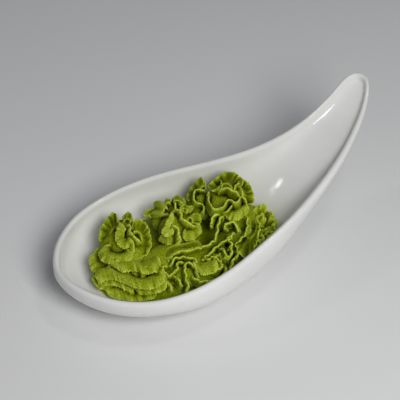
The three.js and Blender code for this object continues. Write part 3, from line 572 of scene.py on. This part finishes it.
def ribbons_shape():
    """The ruffled ribbons between the rosettes and the front of the bowl's right half."""
    shape = bmesh.new()
    add_run(shape, FLANK_FORM, [CRESTS[0][FLANK_START:]], seed=70)
    add_run(shape, CREST_FORM, CRESTS, seed=80)
    add_run(shape, RUFFLE_FORM, RUFFLES, seed=90)
    add_run(shape, HANGING_FORM, HANGING, seed=110)
    add_fans(shape, CUPS, seed=120)
    add_run(shape, ROPE_FORM, ROPE, seed=130)
    return shape


# ---------------------------------------------------------------- pieces

def as_object(name, shape):
    """A new object that holds a bmesh as its mesh."""
    mesh = bpy.data.meshes.new(name)
    shape.to_mesh(mesh)
    shape.free()
    piece = bpy.data.objects.new(name, mesh)
    bpy.context.scene.collection.objects.link(piece)
    return piece


def shade_smooth(piece):
    """Rounds off the shading over the edges between a piece's faces."""
    for face in piece.data.polygons:
        face.use_smooth = True


def settle(piece):
    """Makes a piece's mesh what its modifiers give, and takes the modifiers off."""
    graph = bpy.context.evaluated_depsgraph_get()
    finished = bpy.data.meshes.new_from_object(piece.evaluated_get(graph))
    piece.modifiers.clear()
    piece.data = finished
    shade_smooth(piece)


def mark_relief(piece):
    """Keeps how far each vertex stands out of the smoothed surface: above 0.5 on ridges, below in gaps, for
    painted highlights and shade.
    """
    mesh = piece.data
    smooth = bmesh.new()
    smooth.from_mesh(mesh)
    for _ in range(RELIEF_PASSES):
        bmesh.ops.smooth_vert(smooth, verts=smooth.verts, factor=1, use_axis_x=True, use_axis_y=True,
                              use_axis_z=True)
    smooth.verts.ensure_lookup_table()
    painted_light_relief = mesh.attributes.new("painted_light_relief", "FLOAT", "POINT")
    for vertex in mesh.vertices:
        out = (vertex.co - smooth.verts[vertex.index].co).dot(vertex.normal)
        painted_light_relief.data[vertex.index].value = 0.5 + out / (2 * RELIEF_RANGE * MM)
    smooth.free()


def dress(piece, node, material):
    """Gives a piece its material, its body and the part's node that it replaces."""
    piece.data.materials.clear()
    piece.data.materials.append(material)
    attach(piece, "root")
    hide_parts(node)


def to_row_frame(shape, shift):
    """Moves a shape to the row's frame and to metres, inside the box of the part's flat facets."""
    bmesh.ops.translate(shape, vec=shift, verts=shape.verts)
    bmesh.ops.scale(shape, vec=FIT * MM, verts=shape.verts)
    return shape


def crumb_texture():
    """The cloudy pattern that the paste's surface is raised and lowered by."""
    crumbs = bpy.data.textures.new("crumbs", "CLOUDS")
    crumbs.noise_scale = CRUMB_SIZE * MM
    crumbs.noise_depth = 2
    return crumbs


def crumb(piece, crumbs, room):
    """Joins a piece's ribs into one skin with the paste's grain, and keeps it inside the bowl's room."""
    skin = piece.modifiers.new("skin", "REMESH")
    skin.mode = "VOXEL"
    skin.voxel_size = VOXEL * MM
    grain = piece.modifiers.new("grain", "DISPLACE")
    grain.texture = crumbs
    grain.texture_coords = "LOCAL"
    grain.strength = GRAIN * MM
    grain.mid_level = 0.5
    inside = piece.modifiers.new("inside", "BOOLEAN")
    inside.operation = "INTERSECT"
    inside.solver = "MANIFOLD"
    inside.object = room


# ---------------------------------------------------------------- materials

def new_material(name):
    """A new material, with its nodes and links."""
    material = bpy.data.materials.new(name)
    material.use_nodes = True
    return material, material.node_tree.nodes, material.node_tree.links


def noise_on(nodes, links, scale, detail):
    """A noise texture on the object's own coordinates."""
    place = nodes.new("ShaderNodeTexCoord")
    texture = nodes.new("ShaderNodeTexNoise")
    texture.inputs["Scale"].default_value = scale
    texture.inputs["Detail"].default_value = detail
    links.new(place.outputs["Object"], texture.inputs["Vector"])
    return texture


def ramp_of(nodes, links, source, stops):
    """A colour ramp fed by a value, with its stops as (place, colour)."""
    ramp = nodes.new("ShaderNodeValToRGB")
    elements = ramp.color_ramp.elements
    while len(elements) < len(stops):
        elements.new(0.5)
    for element, (place, colour) in zip(elements, stops):
        element.position = place
        element.color = (*colour, 1)
    links.new(source, ramp.inputs["Fac"])
    return ramp.outputs["Color"]


def add_bump(nodes, links, source, strength, distance):
    """Raises and lowers a material's surface by a value, by up to a distance in millimetres."""
    bump = nodes.new("ShaderNodeBump")
    bump.inputs["Strength"].default_value = strength
    bump.inputs["Distance"].default_value = distance * MM
    links.new(source, bump.inputs["Height"])
    links.new(bump.outputs["Normal"], nodes["Principled BSDF"].inputs["Normal"])


def glazed_porcelain():
    """White porcelain under a glossy clear glaze, with faint clouds and ripples."""
    material, nodes, links = new_material("glazed_porcelain")
    shader = nodes["Principled BSDF"]
    shader.inputs["Roughness"].default_value = 0.1
    shader.inputs["IOR"].default_value = 1.52
    shader.inputs["Coat Weight"].default_value = 0.4
    shader.inputs["Coat Roughness"].default_value = 0.03
    cloud = noise_on(nodes, links, 60, 3)
    tint = ramp_of(nodes, links, cloud.outputs["Fac"],
                   [(0.35, (0.80, 0.80, 0.77)), (0.65, (0.84, 0.84, 0.81))])
    links.new(tint, shader.inputs["Base Color"])
    ripple = noise_on(nodes, links, 150, 2)
    add_bump(nodes, links, ripple.outputs["Fac"], 0.03, 0.2)
    return material


def wasabi():
    """Green paste with painted highlights on its ridges and painted shade in its gaps, speckled all over.
    """
    material, nodes, links = new_material("wasabi")
    shader = nodes["Principled BSDF"]
    shader.inputs["Roughness"].default_value = 0.7
    shader.inputs["Specular IOR Level"].default_value = 0.2
    shader.inputs["Subsurface Weight"].default_value = 0.15
    shader.inputs["Subsurface Radius"].default_value = (0.6, 0.8, 0.2)
    shader.inputs["Subsurface Scale"].default_value = 1 * MM
    painted_light_relief = nodes.new("ShaderNodeAttribute")
    painted_light_relief.attribute_name = "painted_light_relief"
    # Painted shade and painted highlight: near black deep in the gaps, light yellow-green on the ridges.
    edges = ramp_of(nodes, links, painted_light_relief.outputs["Fac"],
                    [(0.35, (0.008, 0.011, 0.0001)), (0.455, (0.11, 0.14, 0.0004)),
                     (0.52, (0.23, 0.29, 0.0015)), (0.72, (0.58, 0.70, 0.08))])
    crumb_tone = noise_on(nodes, links, 2700, 3)
    speckle = ramp_of(nodes, links, crumb_tone.outputs["Fac"],
                      [(0.3, (0.55, 0.57, 0.4)), (0.5, (1.0, 1.0, 1.0)), (0.7, (1.4, 1.36, 1.7))])
    mix = nodes.new("ShaderNodeMix")
    mix.data_type = "RGBA"
    mix.blend_type = "MULTIPLY"
    mix.inputs["Factor"].default_value = 1
    links.new(edges, mix.inputs["A"])
    links.new(speckle, mix.inputs["B"])
    links.new(mix.outputs["Result"], shader.inputs["Base Color"])
    add_bump(nodes, links, crumb_tone.outputs["Fac"], 0.8, 0.2)
    return material


def pale_floor():
    """A plain pale surface."""
    material, nodes, links = new_material("pale_floor")
    shader = nodes["Principled BSDF"]
    shader.inputs["Roughness"].default_value = 0.6
    cloud = noise_on(nodes, links, 8, 2)
    tint = ramp_of(nodes, links, cloud.outputs["Fac"],
                   [(0.3, (0.80, 0.80, 0.80)), (0.7, (0.82, 0.82, 0.82))])
    links.new(tint, shader.inputs["Base Color"])
    return material


# ---------------------------------------------------------------- the object

def shift_to_middle(shape):
    """The way that brings the middle of a shape's box over the origin."""
    xs = [vertex.co.x for vertex in shape.verts]
    ys = [vertex.co.y for vertex in shape.verts]
    return Vector((-(min(xs) + max(xs)) / 2, -(min(ys) + max(ys)) / 2, 0))


spoon_shape = turned(spoon_rows())
SHIFT = shift_to_middle(spoon_shape)

spoon = as_object("porcelain_spoon", to_row_frame(spoon_shape, SHIFT))
shade_smooth(spoon)
dress(spoon, "spoon", glazed_porcelain())

room = as_object("room", to_row_frame(turned(cast_rows()), SHIFT))
crumbs = crumb_texture()
paste_material = wasabi()
PASTE_PIECES = {
    "left_rosette": lambda: rosette_shape(LEFT_ROSETTE),
    "middle_rosette": lambda: rosette_shape(MIDDLE_ROSETTE),
    "right_rosette": lambda: rosette_shape(RIGHT_ROSETTE),
    "mound": mound_shape,
    "front_layers": front_shape,
    "right_ribbons": ribbons_shape,
}
for name, make in PASTE_PIECES.items():
    piece = as_object(name, to_row_frame(make(), SHIFT))
    crumb(piece, crumbs, room)
    settle(piece)
    mark_relief(piece)
    dress(piece, "wasabi_paste", paste_material)
bpy.data.objects.remove(room)


# ---------------------------------------------------------------- floor, light and camera

FLOOR_REACH = 1.5              # metres from the middle of the floor to each side

floor_shape = bmesh.new()
bmesh.ops.create_grid(floor_shape, x_segments=1, y_segments=1, size=FLOOR_REACH)
floor = as_object("floor", floor_shape)
floor.data.materials.append(pale_floor())


def soft_light(name, place, aim, size, roll, power, mirrored=True):
    """A panel of light that faces a point, turned about its own axis by an angle in degrees.

    A panel that isn't mirrored lights the glaze without showing its own image in it.
    """
    lamp = bpy.data.lights.new(name, "AREA")
    lamp.shape = "RECTANGLE"
    lamp.size, lamp.size_y = size
    lamp.energy = power
    holder = bpy.data.objects.new(name, lamp)
    holder.location = place
    facing = (Vector(aim) - Vector(place)).to_track_quat("-Z", "Y").to_matrix()
    holder.rotation_euler = (facing @ Matrix.Rotation(math.radians(roll), 3, "Z")).to_euler()
    holder.visible_glossy = mirrored
    bpy.context.scene.collection.objects.link(holder)


SPOON_MIDDLE = (0, 0, 0.02)
FRONT_PANEL = {"place": (0, -0.42, 0.41), "aim": SPOON_MIDDLE, "size": (0.25, 0.25), "roll": 0}

soft_light("front_softbox", power=2.0, mirrored=False, **FRONT_PANEL)
soft_light("front_glint", power=0.35, **FRONT_PANEL)
soft_light("left_strip", place=(-0.282, 0.174, 0.375), aim=SPOON_MIDDLE,
           size=(0.003, 0.12), roll=36, power=0.09)
soft_light("handle_glow", place=(0.1545, -0.0295, 0.519), aim=(0.0445, 0.0195, 0.0335),
           size=(0.09, 0.09), roll=0, power=0.17)

world = bpy.data.worlds.new("studio")
world.use_nodes = True
world.node_tree.nodes["Background"].inputs["Color"].default_value = (0.9, 0.93, 1, 1)
world.node_tree.nodes["Background"].inputs["Strength"].default_value = 0.1
bpy.context.scene.world = world
bpy.context.scene.view_settings.view_transform = "Standard"

AZIMUTH = math.radians(24.09)  # of the view, turned from straight across the spoon
ELEVATION = math.radians(42)
ROLL = math.radians(0.21)
DISTANCE = 503.69              # millimetres from the camera to the aim point
AIM_ACROSS = 48.13             # of the aim point from the spoon's front, across the view
AIM_DEEP = 54.62               # and away from the camera, both on the floor
PICTURE_PIXELS = 400           # breadth of the picture
FOCAL_PIXELS = 1360            # focal length, in pixels of that picture
SENSOR = 36                    # breadth of the camera's sensor in millimetres


def add_camera():
    """A camera that looks down on the spoon from its open side."""
    lens = bpy.data.cameras.new("camera")
    lens.sensor_width = SENSOR
    lens.lens = SENSOR * FOCAL_PIXELS / PICTURE_PIXELS
    holder = bpy.data.objects.new("camera", lens)
    right = Vector((math.cos(AZIMUTH), -math.sin(AZIMUTH), 0))
    away = Vector((math.sin(AZIMUTH), math.cos(AZIMUTH), 0))
    aim = right * AIM_ACROSS + away * AIM_DEEP + SHIFT
    back = away * math.cos(ELEVATION) - Vector((0, 0, math.sin(ELEVATION)))
    turn = Euler((math.pi / 2 - ELEVATION, 0, -AZIMUTH)).to_matrix() @ Matrix.Rotation(ROLL, 3, "Z")
    holder.matrix_world = Matrix.Translation((aim - back * DISTANCE) * MM) @ turn.to_4x4()
    bpy.context.scene.collection.objects.link(holder)
    bpy.context.scene.camera = holder


add_camera()
